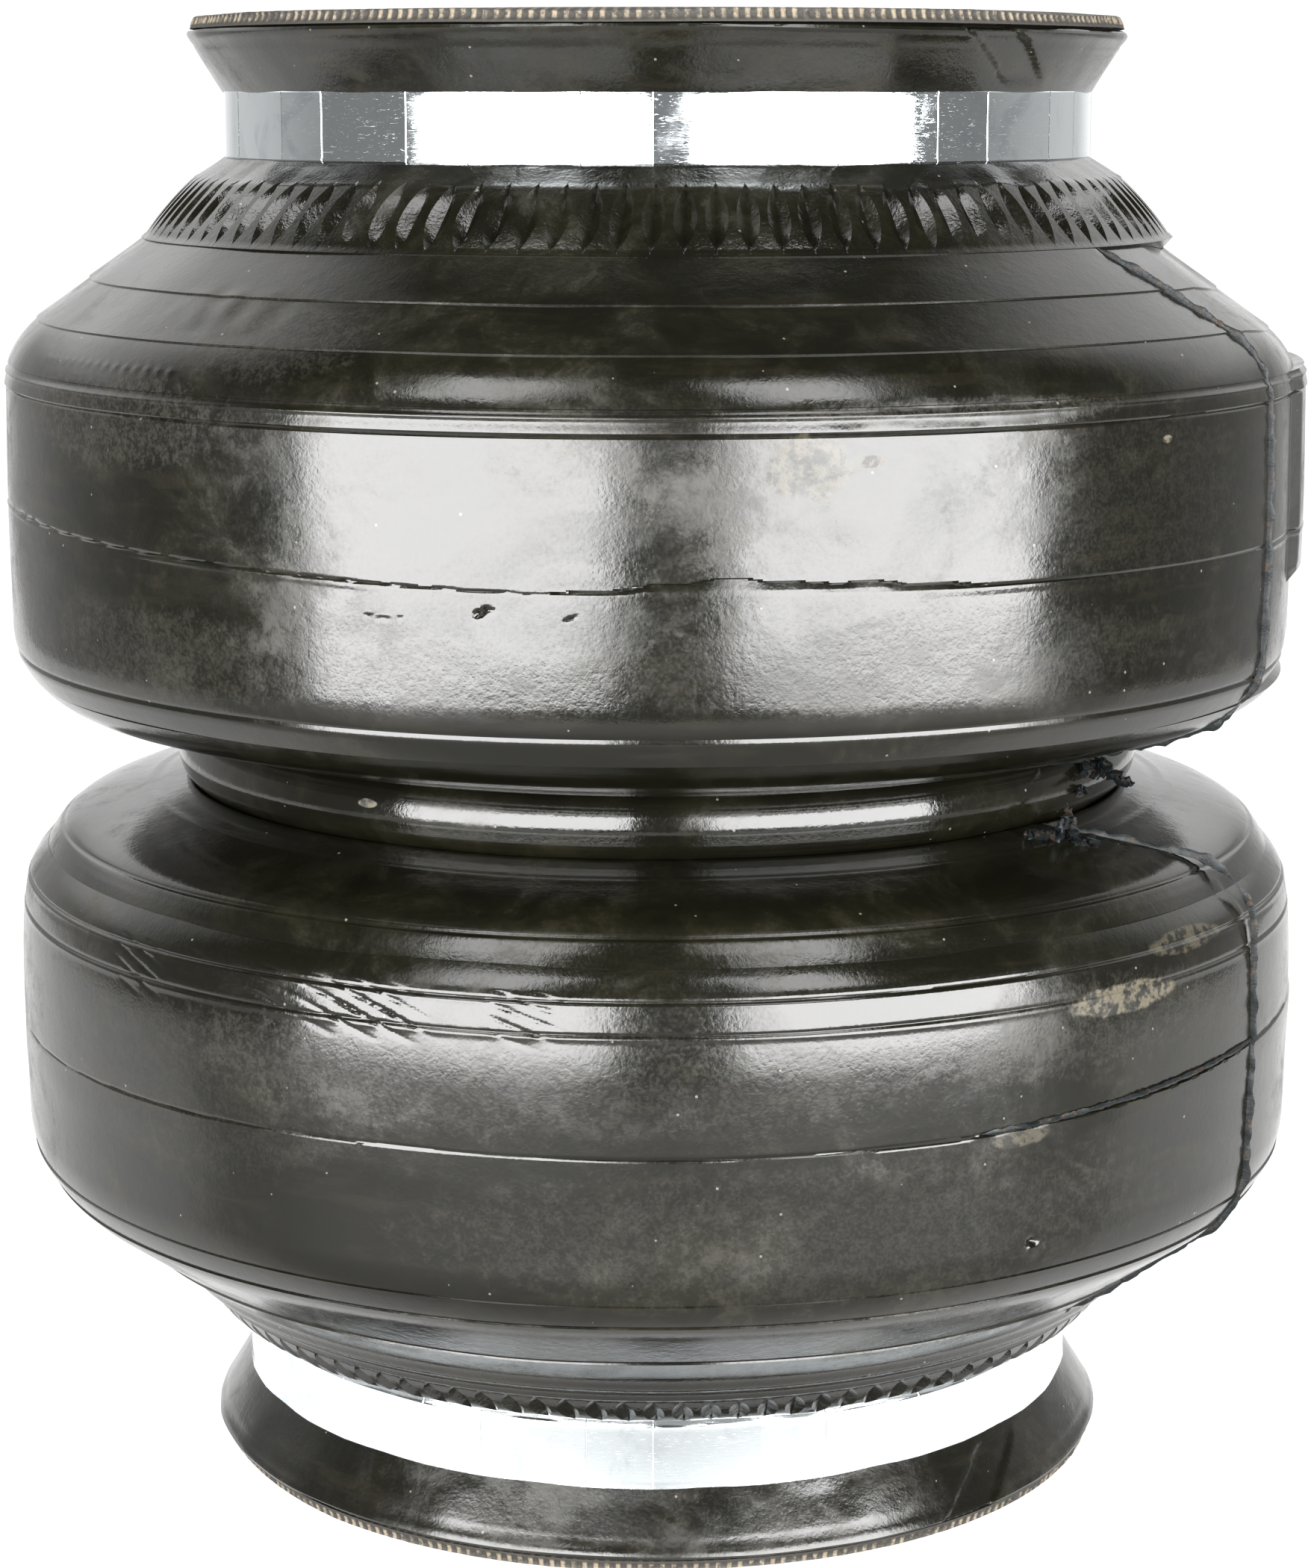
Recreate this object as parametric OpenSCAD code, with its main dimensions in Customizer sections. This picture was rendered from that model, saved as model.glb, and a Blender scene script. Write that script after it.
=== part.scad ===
// Double-convoluted rubber air spring with crimped end bands.
// Millimetres, +Z up. The origin is the centre of the lower end face.
// The two halves are the same shape, mirrored about the waist, so every outline below is
// drawn once for the upper half, with its height measured from the waist.

/* [Overall] */
// Height from end face to end face, free and unloaded
overall_h = 183; // [150:1:220]
// Outer radius of both convolutions
crown_r = 82.5; // [76:0.5:100]
// Outer radius of the ring at the waist
waist_r = 62; // [56:0.5:66]

/* [Rubber wall] */
// Thickness of the outer cover
cover_t = 2.4; // [1.5:0.1:3.2]
// Thickness of the cord plies and inner liner together
carcass_t = 2.4; // [1.5:0.1:3.2]
// How far the cover is trimmed back from the end of the plies
rim_trim = 2.1; // [0.5:0.1:4]
// Flare of the rim beyond the band, from the vertical
rim_flare = 31.7; // [20:0.1:38]
// Rise of the flank from the waist to the convolution, from the horizontal
flank_rise = 15; // [10:0.5:22]
// Fall of the shoulder from the neck to the convolution, from the horizontal
shoulder_fall = 36.6; // [28:0.1:42]
// Fillet between the flank and the convolution
root_fillet = 10; // [6:0.5:12]
// Fillet between the convolution and the shoulder
shoulder_fillet = 11; // [6:0.5:13]
// How far the convolution bulges between its two fillets
crown_bulge = 0.4; // [0.1:0.1:1]
// Height of the fluted part of the neck
flute_h = 7.3; // [5:0.1:9]
// How much wider the fluted part gets from its top to its foot
flute_spread = 6.6; // [5:0.1:8]

/* [Crimped bands] */
// Outer radius of a band
band_r = 54.6; // [50:0.1:66]
// Thickness of a band
band_t = 1.2; // [0.8:0.1:2]
// Width of a band
band_w = 8.3; // [7:0.1:10]
// Distance from the end face to the band
band_inset = 9; // [8:0.1:11]
// Radius of the rounded edges of a band
band_edge = 0.4; // [0.2:0.1:0.5]

/* [Girdle] */
// Diameter of the steel hoop's wire
hoop_wire_d = 6; // [4:0.5:7.5]
// Radius of the girdle's round section, over its rubber
girdle_section_r = 4.9; // [4.5:0.1:5.5]

/* [End caps] */
// Thickness of a cap's disc
cap_disc_t = 7.5; // [6:0.5:9]
// Thickness of a cap's skirt
cap_skirt_t = 4.5; // [3:0.5:6]
// How deep a cap reaches into the bellows
cap_depth = 23; // [21:0.5:26]
// How far the lip at the skirt's inner end stands out
cap_lip = 1.4; // [0.8:0.1:1.8]
// Thickness of the ribs under the disc
rib_t = 3; // [2:0.5:4]
// Height of the ribs under the disc
rib_h = 8; // [5:0.5:10]
// Number of ribs
rib_count = 8; // [6:2:12]

/* [Threaded inserts] */
// Distance between the two bolt holes of an end
bolt_spacing = 44.5; // [44:0.1:54]
// Tapped bore of a bolt insert
bolt_bore_d = 7.94; // [6.6:0.01:8.8]
// Outer diameter of a bolt insert
insert_d = 14; // [12:0.5:16]
// Length of a bolt insert
insert_len = 14.5; // [12:0.5:16]
// Depth of a bolt insert's blind bore
bolt_bore_len = 12; // [9:0.5:12.5]
// Tapped bore of the air port
port_bore_d = 11.1; // [8:0.1:12]
// Outer diameter of the air port's insert
port_insert_d = 20; // [17:0.5:22]
// Wall of the bosses around the inserts
boss_wall = 3.2; // [2:0.1:4]

/* [Hidden] */

$fn = 128;
arc_step = 7.5;     // turn of one step along a rounded outline
bond = 0.02;        // between bonded or pressed surfaces
split_gap = 0.1;    // between rubber zones that move apart
overrun = 4;        // how far an outline runs past the face that trims it
merge = 0.5;        // how far a boss or rib sinks into what carries it

half_h = overall_h / 2;
wall = cover_t + carcass_t;
band_out_z = half_h - band_inset;
band_in_z = band_out_z - band_w;
neck_r = band_r - band_t;

// The neck rises along the flutes, meets the band's inner edge flush and leaves its outer
// edge flush again, so both slopes are drawn on until they reach the rubber under the band.
collar_slope = 1.5;
collar_z = band_in_z + band_t / collar_slope;
flare_z = band_out_z - band_t / tan(rim_flare);
flute_top = [band_r + 3.6, band_in_z - 3.6 / collar_slope];
flute_foot = flute_top + [flute_spread, -flute_h];
rim_end = [neck_r + (half_h + overrun - flare_z) * tan(rim_flare), half_h + overrun];

// The flank laps over the girdle: it starts on a circle about the girdle's section.
girdle_r = waist_r - girdle_section_r;
lap_r = girdle_section_r + split_gap;
lip_angle = 45;
lap_end = 135;
lip = [girdle_r + lap_r * cos(lip_angle), lap_r * sin(lip_angle)];
root_corner = [crown_r - crown_bulge, lip[1] + (crown_r - crown_bulge - lip[0]) * tan(flank_rise)];
shoulder_corner = [
    crown_r - crown_bulge,
    flute_foot[1] - (crown_r - crown_bulge - flute_foot[0]) * tan(shoulder_fall)
];
crown_mid = [crown_r, (root_corner[1] + shoulder_corner[1]) / 2];
crown_fillet = 150;

// Corners of the outer surface from the waist to the rim, with the fillet radius of each
corners = [
    lip, root_corner, crown_mid, shoulder_corner, flute_foot, flute_top,
    [neck_r, collar_z], [neck_r, flare_z], rim_end
];
fillets = [0, root_fillet, crown_fillet, shoulder_fillet, 6, 1.5, 1, 1.5, 0];

function unit(v) = v / norm(v);
function left(v) = [-v[1], v[0]];
function turned(v, a) = [v[0] * cos(a) - v[1] * sin(a), v[0] * sin(a) + v[1] * cos(a)];
function reversed(list) = [for (i = [len(list) - 1:-1:0]) list[i]];
function turn_at(a, b, c) = atan2(cross(unit(b - a), unit(c - b)), unit(b - a) * unit(c - b));

// Corner i moved into the wall by t, along its mitre
function inset(i, t) =
    let (
        n1 = left(unit(corners[i] - corners[i - 1])),
        n2 = i + 1 < len(corners) ? left(unit(corners[i + 1] - corners[i])) : n1
    )
    corners[i] + t * (n1 + n2) / (1 + n1 * n2);

// Where the flank, moved into the wall by t, meets the circle of the lap
function lap_start(t) =
    90 + flank_rise - acos((lap_r * sin(lip_angle - flank_rise) + t) / (lap_r + t));
function lap_point(t, a) = [girdle_r + (lap_r + t) * cos(a), (lap_r + t) * sin(a)];
function lap_arc(t) =
    let (steps = ceil((lap_end - lap_start(t)) / arc_step))
    [for (i = [0:steps]) lap_point(t, lap_end + (lap_start(t) - lap_end) * i / steps)];

function place(i, t) = i == 0 ? lap_point(t, lap_start(t)) : inset(i, t);

// The part of corner i's fillet between two shares of its turn, at depth t in the wall
function fillet(i, t, from = 0, to = 1) =
    let (
        a = place(i - 1, t), b = place(i, t), c = place(i + 1, t),
        turn = turn_at(a, b, c),
        side = sign(turn),
        r = max(fillets[i] - t * side, 0.2),
        d = unit(b - a),
        centre = b - d * r * tan(abs(turn) / 2) + left(d) * r * side,
        steps = max(1, ceil(abs(turn) * (to - from) / arc_step))
    )
    [for (k = [0:steps]) centre - turned(left(d) * side * r, turn * (from + (to - from) * k / steps))];

// Mould lines halfway round two fillets part the flank, the crown and the neck.
mould_at = 0.5;
root = 1;
foot = 4;
last = len(corners) - 1;
function turn_of(i) = abs(turn_at(corners[i - 1], corners[i], corners[i + 1]));
function share(i, gap) = gap / (fillets[i] * turn_of(i) * PI / 180);

function flank_line(t) = concat(lap_arc(t), fillet(root, t, 0, mould_at));
function crown_line(t) = concat(
    fillet(root, t, mould_at + share(root, split_gap), 1),
    [for (i = [root + 1:foot - 1]) each fillet(i, t)],
    fillet(foot, t, 0, mould_at - share(foot, bond))
);
function neck_line(t) = concat(
    fillet(foot, t, mould_at, 1),
    [for (i = [foot + 1:last - 1]) each fillet(i, t)],
    [inset(last, t)]
);

// The end cap follows the inside of the neck.
neck_in_r = neck_r - wall - bond;
cap_lip_z = half_h - cap_depth;
cap_floor_z = half_h - cap_disc_t;
cap_face_r = rim_end[0] - overrun * tan(rim_flare) - wall / cos(rim_flare) - bond;
cap_flare_z = half_h - (cap_face_r - neck_in_r) / tan(rim_flare);
cap_lip_top = band_in_z - 2.6;
insert_r = insert_d / 2;
port_insert_r = port_insert_d / 2;
boss_depth = insert_len + boss_wall;

rubber = [0.11, 0.11, 0.10];
ply = [0.24, 0.23, 0.20];
zinc = [0.80, 0.81, 0.80];
steel = [0.45, 0.46, 0.48];
brass = [0.78, 0.62, 0.30];
nylon = [0.15, 0.15, 0.16];

module upper_half() {
    translate([0, 0, half_h]) children();
}

module lower_half() {
    translate([0, 0, half_h]) mirror([0, 0, 1]) children();
}

module ring(outer_r, inner_r, from_z, to_z) {
    translate([0, 0, from_z])
        difference() {
            cylinder(r = outer_r, h = to_z - from_z);
            translate([0, 0, -1]) cylinder(r = inner_r, h = to_z - from_z + 2);
        }
}

module layer(outside, inside) {
    rotate_extrude() polygon(concat(outside, reversed(inside)));
}

module neck_layer(depth_out, depth_in, end_z) {
    intersection() {
        layer(neck_line(depth_out), neck_line(depth_in));
        cylinder(r = crown_r, h = end_z);
    }
}

module neck_cover() {
    color(rubber)
        difference() {
            neck_layer(0, cover_t - bond, half_h - rim_trim);
            ring(rim_end[0] + 1, neck_r - bond, band_in_z - bond, band_out_z + bond);
        }
}

module neck_carcass() {
    color(ply) neck_layer(cover_t, wall, half_h);
}

module crown_cover() {
    color(rubber) layer(crown_line(0), crown_line(cover_t - bond));
}

module crown_carcass() {
    color(ply) layer(crown_line(cover_t), crown_line(wall));
}

module flank_cover() {
    color(rubber) layer(flank_line(0), flank_line(cover_t - bond));
}

module flank_carcass() {
    color(ply) layer(flank_line(cover_t), flank_line(wall));
}

module band() {
    inner_edge = [neck_r, band_in_z];
    outer_edge = [neck_r, band_out_z];
    round_r = band_r - band_edge;
    rounded = concat(
        [for (a = [-90:30:0]) [round_r, band_in_z + band_edge] + band_edge * [cos(a), sin(a)]],
        [for (a = [0:30:90]) [round_r, band_out_z - band_edge] + band_edge * [cos(a), sin(a)]]
    );
    color(zinc) rotate_extrude() polygon(concat([outer_edge, inner_edge], rounded));
}

module cap_ribs() {
    for (k = [0:rib_count - 1])
        rotate([0, 0, k * 360 / rib_count])
            translate([0, -rib_t / 2, cap_floor_z - rib_h])
                cube([neck_in_r - cap_skirt_t + merge, rib_t, rib_h + merge]);
}

module cap(has_port) {
    section = [
        [0, half_h], [cap_face_r, half_h], [neck_in_r, cap_flare_z], [neck_in_r, cap_lip_top],
        [neck_in_r + cap_lip, cap_lip_top - cap_lip], [neck_in_r, cap_lip_z],
        [neck_in_r - cap_skirt_t, cap_lip_z], [neck_in_r - cap_skirt_t, cap_floor_z],
        [0, cap_floor_z]
    ];
    color(nylon)
        difference() {
            union() {
                rotate_extrude() polygon(section);
                cap_ribs();
                for (side = [-1, 1])
                    translate([side * bolt_spacing / 2, 0, half_h - boss_depth])
                        cylinder(r = insert_r + boss_wall, h = boss_depth - cap_disc_t + merge);
                if (has_port)
                    translate([0, 0, cap_lip_z])
                        cylinder(r = port_insert_r + boss_wall, h = cap_depth - cap_disc_t + merge);
            }
            for (side = [-1, 1])
                translate([side * bolt_spacing / 2, 0, half_h - insert_len - bond])
                    cylinder(r = insert_r + bond, h = insert_len + 1);
            if (has_port)
                translate([0, 0, cap_lip_z - 1])
                    cylinder(r = port_insert_r + bond, h = cap_depth + 2);
        }
}

module bolt_insert(side) {
    color(brass)
        translate([side * bolt_spacing / 2, 0, half_h - insert_len])
            difference() {
                cylinder(r = insert_r, h = insert_len);
                translate([0, 0, insert_len - bolt_bore_len])
                    cylinder(d = bolt_bore_d, h = bolt_bore_len + 1);
            }
}

module port_insert() {
    color(brass) ring(port_insert_r, port_bore_d / 2, cap_lip_z, half_h);
}

module girdle_ring() {
    color(rubber)
        translate([0, 0, half_h])
            rotate_extrude()
                translate([girdle_r, 0])
                    difference() {
                        circle(r = girdle_section_r);
                        circle(d = hoop_wire_d + 2 * bond);
                    }
}

module hoop() {
    color(steel)
        translate([0, 0, half_h]) rotate_extrude() translate([girdle_r, 0]) circle(d = hoop_wire_d);
}

module waist_carcass() {
    from = lap_end + split_gap;
    sweep = 2 * (180 - from);
    steps = ceil(sweep / arc_step);
    arc = [for (i = [0:steps]) from + sweep * i / steps];
    color(ply)
        translate([0, 0, half_h])
            rotate_extrude()
                polygon(concat(
                    [for (a = arc) lap_point(0, a)],
                    [for (a = reversed(arc)) lap_point(wall, a)]
                ));
}

module lower_band() { lower_half() band(); }
module lower_cap() { lower_half() cap(false); }
module lower_insert_left() { lower_half() bolt_insert(-1); }
module lower_insert_right() { lower_half() bolt_insert(1); }
module lower_neck_cover() { lower_half() neck_cover(); }
module lower_neck_carcass() { lower_half() neck_carcass(); }
module lower_crown_cover() { lower_half() crown_cover(); }
module lower_crown_carcass() { lower_half() crown_carcass(); }
module lower_flank_cover() { lower_half() flank_cover(); }
module lower_flank_carcass() { lower_half() flank_carcass(); }
module upper_flank_cover() { upper_half() flank_cover(); }
module upper_flank_carcass() { upper_half() flank_carcass(); }
module upper_neck_cover() { upper_half() neck_cover(); }
module upper_neck_carcass() { upper_half() neck_carcass(); }
module upper_crown_cover() { upper_half() crown_cover(); }
module upper_crown_carcass() { upper_half() crown_carcass(); }
module upper_band() { upper_half() band(); }
module upper_cap() { upper_half() cap(true); }
module upper_insert_left() { upper_half() bolt_insert(-1); }
module upper_insert_right() { upper_half() bolt_insert(1); }

lower_band();
lower_cap();
lower_insert_left();
lower_insert_right();
lower_neck_cover();
lower_neck_carcass();
lower_crown_cover();
lower_crown_carcass();
lower_flank_cover();
lower_flank_carcass();
girdle_ring();  // girdle_cover
hoop();  // girdle_hoop
waist_carcass();  // girdle_carcass
upper_flank_cover();
upper_flank_carcass();
upper_neck_cover();
upper_neck_carcass();
upper_crown_cover();
upper_crown_carcass();
upper_band();
upper_cap();
upper_insert_left();
upper_insert_right();
upper_half() port_insert();  // air_port_insert
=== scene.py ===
"""Double-convoluted rubber air spring: the looks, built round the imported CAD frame."""
import math

import bmesh
import bpy
import numpy as np
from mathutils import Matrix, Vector


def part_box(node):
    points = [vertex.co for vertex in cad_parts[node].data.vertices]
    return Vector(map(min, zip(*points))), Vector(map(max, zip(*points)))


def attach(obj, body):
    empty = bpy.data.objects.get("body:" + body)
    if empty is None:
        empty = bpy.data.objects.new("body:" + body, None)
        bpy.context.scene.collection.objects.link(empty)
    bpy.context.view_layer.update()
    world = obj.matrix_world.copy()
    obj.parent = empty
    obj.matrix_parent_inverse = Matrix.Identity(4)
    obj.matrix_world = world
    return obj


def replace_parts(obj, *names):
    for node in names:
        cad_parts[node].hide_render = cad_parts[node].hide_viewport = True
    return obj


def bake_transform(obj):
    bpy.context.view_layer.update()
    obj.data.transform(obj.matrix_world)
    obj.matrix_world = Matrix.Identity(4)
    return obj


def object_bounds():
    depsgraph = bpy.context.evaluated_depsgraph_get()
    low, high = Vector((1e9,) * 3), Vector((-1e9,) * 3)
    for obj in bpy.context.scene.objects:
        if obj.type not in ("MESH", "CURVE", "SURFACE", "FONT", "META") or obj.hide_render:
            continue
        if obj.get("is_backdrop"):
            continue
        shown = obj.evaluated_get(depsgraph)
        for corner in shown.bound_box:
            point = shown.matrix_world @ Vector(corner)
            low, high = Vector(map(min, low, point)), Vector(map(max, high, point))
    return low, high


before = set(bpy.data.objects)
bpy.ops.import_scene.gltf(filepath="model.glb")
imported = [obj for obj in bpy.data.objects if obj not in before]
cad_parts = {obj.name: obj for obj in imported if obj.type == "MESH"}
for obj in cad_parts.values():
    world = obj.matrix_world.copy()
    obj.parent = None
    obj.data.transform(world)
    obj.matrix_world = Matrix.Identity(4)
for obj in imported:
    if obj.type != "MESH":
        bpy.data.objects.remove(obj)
cad_lo, cad_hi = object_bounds()

MM = 0.001          # one millimetre, in the metres of the frame

# ---------------------------------------------------------------- sizes, from the frame
HEIGHT = cad_hi[2] / MM
HALF = HEIGHT / 2
BAND_IN, BAND_OUT = (v[2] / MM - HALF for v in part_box("upper_band"))
BAND_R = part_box("upper_band")[1][0] / MM
CROWN_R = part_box("upper_crown_cover")[1][0] / MM
WAIST_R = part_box("girdle_cover")[1][0] / MM
SECTION_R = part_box("girdle_cover")[1][2] / MM - HALF
COVER_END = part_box("upper_neck_cover")[1][2] / MM - HALF
PORT_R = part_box("air_port_insert")[1][0] / MM
PORT_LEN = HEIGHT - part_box("air_port_insert")[0][2] / MM
INSERT_LO, INSERT_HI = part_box("upper_insert_right")
INSERT_X = (INSERT_LO[0] + INSERT_HI[0]) / 2 / MM
INSERT_R = (INSERT_HI[0] - INSERT_LO[0]) / 2 / MM
INSERT_LEN = (INSERT_HI[2] - INSERT_LO[2]) / MM

# the wall and the outline, as the CAD draws them
COVER_T = 2.4
WALL = 4.8
BAND_T = 1.2
NECK_R = BAND_R - BAND_T
RIM_FLARE = math.radians(31.7)
FLANK_RISE = math.radians(15)
SHOULDER_FALL = math.radians(36.6)
COLLAR_SLOPE = 1.5
COLLAR_OUT = 3.6
FLUTE_H, FLUTE_SPREAD = 7.3, 6.6
BULGE = 0.4
LAP_R = SECTION_R + 0.1
LIP_ANGLE = math.radians(45)
GIRDLE_R = WAIST_R - SECTION_R


def unit(v):
    return v / np.linalg.norm(v)


def left(v):
    return np.array([-v[1], v[0]])


LIP = np.array([GIRDLE_R + LAP_R * math.cos(LIP_ANGLE), LAP_R * math.sin(LIP_ANGLE)])
WALL_R = CROWN_R - BULGE
ROOT = np.array([WALL_R, LIP[1] + (WALL_R - LIP[0]) * math.tan(FLANK_RISE)])
FLUTE_TOP = np.array([BAND_R + COLLAR_OUT, BAND_IN - COLLAR_OUT / COLLAR_SLOPE])
FLUTE_FOOT = FLUTE_TOP + [FLUTE_SPREAD, -FLUTE_H]
SHOULDER = np.array(
    [WALL_R, FLUTE_FOOT[1] - (WALL_R - FLUTE_FOOT[0]) * math.tan(SHOULDER_FALL)]
)
CROWN_MID = np.array([CROWN_R, (ROOT[1] + SHOULDER[1]) / 2])
COLLAR = np.array([NECK_R, BAND_IN + BAND_T / COLLAR_SLOPE])
FLARE = np.array([NECK_R, BAND_OUT - BAND_T / math.tan(RIM_FLARE)])
RIM_END = FLARE + [(COVER_END - FLARE[1]) * math.tan(RIM_FLARE), COVER_END - FLARE[1]]
CORNERS = [LIP, ROOT, CROWN_MID, SHOULDER, FLUTE_FOOT, FLUTE_TOP, COLLAR, FLARE, RIM_END]
FILLETS = [0, 10, 150, 11, 6, 1.5, 1, 1.5, 0]      # radius at each of the corners
MOULD_AT = 0.5      # share of a fillet's turn at which the mould parts two zones


def inset(i, t):
    """Corner i moved into the wall by t, along its mitre."""
    if i == 0:
        n = left(unit(CORNERS[1] - CORNERS[0]))
        return CORNERS[0] + t * n
    n1 = left(unit(CORNERS[i] - CORNERS[i - 1]))
    n2 = left(unit(CORNERS[i + 1] - CORNERS[i])) if i + 1 < len(CORNERS) else n1
    return CORNERS[i] + t * (n1 + n2) / (1 + n1 @ n2)


def fillet(i, t=0.0, start=0.0, end=1.0, step=2.0):
    """Points of corner i's fillet between two shares of its turn, t deep in the wall."""
    a, b, c = inset(i - 1, t), inset(i, t), inset(i + 1, t)
    d, e = unit(b - a), unit(c - b)
    turn = math.atan2(d[0] * e[1] - d[1] * e[0], d @ e)
    side = math.copysign(1, turn)
    r = max(FILLETS[i] - t * side, 0.2)
    centre = b - d * r * math.tan(abs(turn) / 2) + left(d) * r * side
    count = max(2, math.ceil(math.degrees(abs(turn)) * (end - start) / step))
    angles = turn * np.linspace(start, end, count + 1)
    arm = left(d) * side * r
    c, s = np.cos(angles), np.sin(angles)
    return np.column_stack(
        [centre[0] - (arm[0] * c - arm[1] * s), centre[1] - (arm[0] * s + arm[1] * c)]
    )


def resample(points, spacing, extra=()):
    """The path through points at even spacing, with extra path lengths kept as rows."""
    steps = np.linalg.norm(np.diff(points, axis=0), axis=1)
    s = np.concatenate([[0], np.cumsum(steps)])
    even = np.linspace(0, s[-1], max(2, math.ceil(s[-1] / spacing)) + 1)
    rows = np.unique(np.round(np.concatenate([even, np.asarray(extra, float)]), 4))
    rows = rows[(rows >= 0) & (rows <= s[-1] + 1e-6)]
    keep = [0]
    for k in range(1, len(rows)):
        if rows[k] - rows[keep[-1]] > 0.04:
            keep.append(k)
    rows = rows[keep]
    rows[-1] = s[-1]
    return np.column_stack([np.interp(rows, s, points[:, k]) for k in (0, 1)])


def outward(points):
    """Unit normals of a path on its outer side."""
    d = np.gradient(points, axis=0)
    n = np.column_stack([d[:, 1], -d[:, 0]])
    return n / np.linalg.norm(n, axis=1)[:, None]


def length_at(points, zs):
    """Path lengths at which a rising path reaches the heights zs."""
    steps = np.linalg.norm(np.diff(points, axis=0), axis=1)
    s = np.concatenate([[0], np.cumsum(steps)])
    return np.interp(zs, points[:, 1], s)


# ---------------------------------------------------------------- meshes
def grid_object(name, verts):
    """A ring of quads from verts[column, row, xyz] in mm; both ways closed."""
    columns, rows = verts.shape[:2]
    me = bpy.data.meshes.new(name)
    me.vertices.add(columns * rows)
    me.vertices.foreach_set("co", (verts.reshape(-1, 3) * MM).astype(np.float32).ravel())
    i = np.arange(columns)[:, None]
    j = np.arange(rows)[None, :]
    ni, nj = (i + 1) % columns, (j + 1) % rows
    quads = np.stack(
        [i * rows + j, ni * rows + j, ni * rows + nj, i * rows + nj], axis=-1
    ).reshape(-1, 4)
    me.loops.add(quads.size)
    me.loops.foreach_set("vertex_index", quads.astype(np.int32).ravel())
    me.polygons.add(len(quads))
    me.polygons.foreach_set("loop_start", np.arange(0, quads.size, 4, dtype=np.int32))
    me.update(calc_edges=True)
    me.validate()
    obj = bpy.data.objects.new(name, me)
    bpy.context.scene.collection.objects.link(obj)
    me.shade_smooth()
    return obj


def revolve(name, r, z, theta, upper, sharp=35):
    """Turns r, z, theta arrays [column, row] of a closed section into an object."""
    shape = np.broadcast_shapes(r.shape, z.shape, theta.shape)
    r, z, theta = (np.broadcast_to(a, shape) for a in (r, z, theta))
    side = 1 if upper else -1
    turn = theta * side
    verts = np.stack([r * np.cos(turn), r * np.sin(turn), HALF + side * z], axis=-1)
    if not upper:
        # mirrored in height and run the other way round, so the faces still look outward;
        # the angle is put back, so that theta means the same on both halves
        verts[..., 1] *= -1
        verts = verts[::-1]
        verts = verts[:, ::-1]
        verts = verts[::-1]
    obj = grid_object(name, verts)
    obj.data.set_sharp_from_angle(angle=math.radians(sharp))
    return obj


# ---------------------------------------------------------------- relief of the moulding
def ridge(x, width):
    return np.exp(-((x / width) ** 2))


def ripple(az, z, size, seed, count=26):
    """Random waves of about this size in mm, closed round the axis, about -1 to 1."""
    rng = np.random.default_rng(seed)
    out = np.zeros(np.broadcast_shapes(az.shape, z.shape))
    for _ in range(count):
        turns = round(rng.normal(0, 0.6 * CROWN_R / size))
        wave = rng.normal(0, 0.6 / size)
        out = out + np.cos(turns * np.radians(az) + wave * z + rng.uniform(0, 6.28))
    return out / math.sqrt(count)


def ragged(count, seed, smooth=1):
    """A random line between 0 and 1."""
    line = np.random.default_rng(seed).uniform(0, 1, count + 2 * smooth)
    return np.convolve(line, np.ones(2 * smooth + 1) / (2 * smooth + 1), "valid")


def columns(*zones):
    """Angles right of the front in degrees, at each zone's own step and 1.5 elsewhere."""
    cuts = sorted({-180.0, 180.0, *[v for z in zones for v in z[:2]]})
    out = []
    for a, b in zip(cuts[:-1], cuts[1:]):
        steps = [z[2] for z in zones if z[0] <= a and b <= z[1]]
        out.append(np.linspace(a, b, max(1, round((b - a) / min(steps, default=1.5))), False))
    return np.concatenate(out)[:, None]


SEAM_Y = 40.0       # the mould's vertical seam lies in the plane at this depth


def seam_az(r):
    return np.degrees(np.arccos(np.clip(SEAM_Y / r, -1, 1)))


def beyond_seam(az, r):
    """1 right of the seam, where the wall sits a little lower."""
    return 1 / (1 + np.exp(np.clip((seam_az(r) - az) * 6, -40, 40))) * (az < 120)


# The shoulder's mould rings: heights of their lower edges, from the waist
UPPER_RINGS = [46.9, 49.4, 54.7, 59.6, 64.5]
LOWER_RINGS = [49.8, 52.9, 60.7, 64.5]


def overlap_rings(z, edges, proud=0.2):
    """Mould rings of the shoulder, each standing proud at its edge nearer the crown."""
    out = np.zeros_like(z)
    for lo, hi in zip(edges[:-1], edges[1:]):
        t = (z - lo) / (hi - lo)
        out += np.where((t >= 0) & (t < 1), proud * np.clip(1 - t, 0, 1) ** 1.5, 0)
    return out


def soft_root(z):
    """The lower convolution leans in towards its root more than the upper."""
    return 0.008 * np.clip(25 - z, 0, None) ** 2


def gash(az, z, at, length, height, deep, lean=0.0):
    """A short cut with a raised lip over it, at (angle, height)."""
    u = np.radians(az - at[0]) * CROWN_R
    v = z - at[1] - lean * u
    along = np.clip(1 - (u / length) ** 2, 0, 1)
    return along * (0.6 * deep * ridge(v - 1.3 * height, height) - deep * ridge(v, height))


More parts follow.
